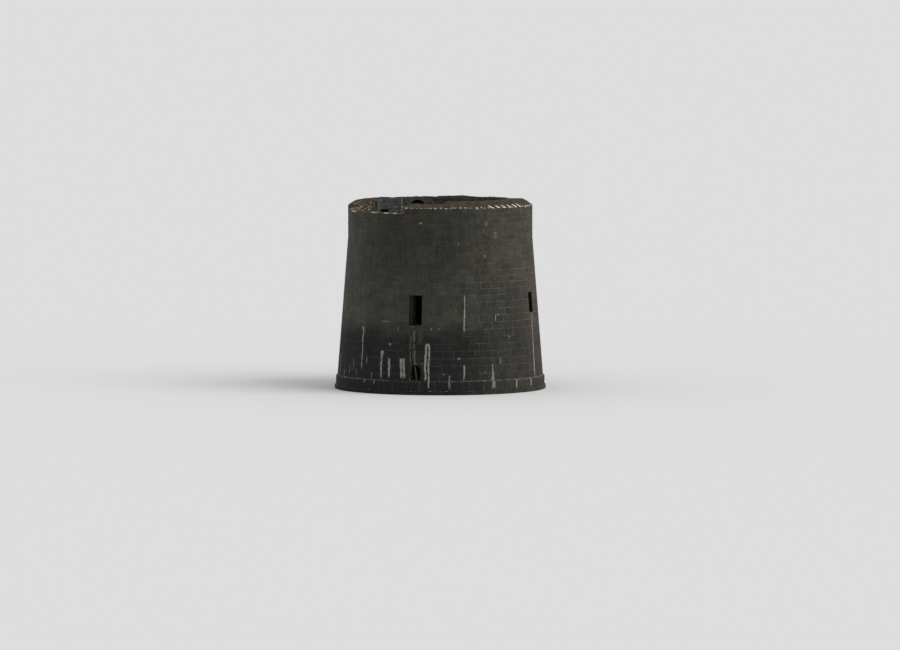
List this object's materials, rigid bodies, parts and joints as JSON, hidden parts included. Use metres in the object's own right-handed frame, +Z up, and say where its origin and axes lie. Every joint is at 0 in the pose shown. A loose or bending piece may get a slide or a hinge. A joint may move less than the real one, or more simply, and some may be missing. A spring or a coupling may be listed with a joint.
{
  "type": "martello tower",
  "caption": "Round battered granite gun tower with a raised door, splayed side windows, hollow vaulted chambers, a broken parapet top and a ragged hole at its foot.",
  "frame": {"origin": "centre of the round base at ground level", "axes": "+Z up the tower's axis; the raised door faces -Y"},
  "size_m": [13.8, 13.7996, 12.3615],
  "materials": {
    "wall_granite": "rough squared ashlar, weathered, with pale lime joints",
    "dressed_granite": "smooth dressed stone",
    "rubble_core": "exposed rubble and lime mortar",
    "vault_stone": "cut voussoirs, lime washed",
    "paving": "worn flagstones",
    "floor_timber": "old bare boards"
  },
  "bodies": {
    "root": {"base_course": "wall_granite", "door_lintel": "dressed_granite", "door_threshold": "dressed_granite", "firing_step": "paving", "floor_boards": "floor_timber", "floor_joists": "floor_timber", "footing_course": "wall_granite", "ground_floor_flags": "paving", "gun_platform": "paving", "left_window_apron": "wall_granite", "left_window_lintel": "dressed_granite", "left_window_sill": "dressed_granite", "living_wall_back_left": "wall_granite", "living_wall_back_right": "wall_granite", "living_wall_left": "wall_granite", "living_wall_right": "wall_granite", "parapet_1": "wall_granite", "parapet_2": "wall_granite", "parapet_3": "wall_granite", "parapet_4": "wall_granite", "parapet_5": "wall_granite", "parapet_6": "wall_granite", "parapet_gap_sill": "rubble_core", "parapet_lowered": "wall_granite", "parapet_spalled": "rubble_core", "passage_arch": "dressed_granite", "pier_by_left_window": "wall_granite", "pier_by_right_window": "wall_granite", "pier_left_of_door": "wall_granite", "pier_right_of_door": "wall_granite", "right_window_apron": "wall_granite", "right_window_lintel": "dressed_granite", "right_window_sill": "dressed_granite", "store_wall_back": "wall_granite", "store_wall_back_left": "wall_granite", "store_wall_back_right": "wall_granite", "store_wall_front": "wall_granite", "store_wall_front_left": "wall_granite", "store_wall_front_right": "wall_granite", "upper_wall_back": "wall_granite", "upper_wall_front": "wall_granite", "upper_wall_left": "wall_granite", "upper_wall_right": "wall_granite", "vault": "vault_stone", "vault_fill": "rubble_core"}
  },
  "joints": []
}
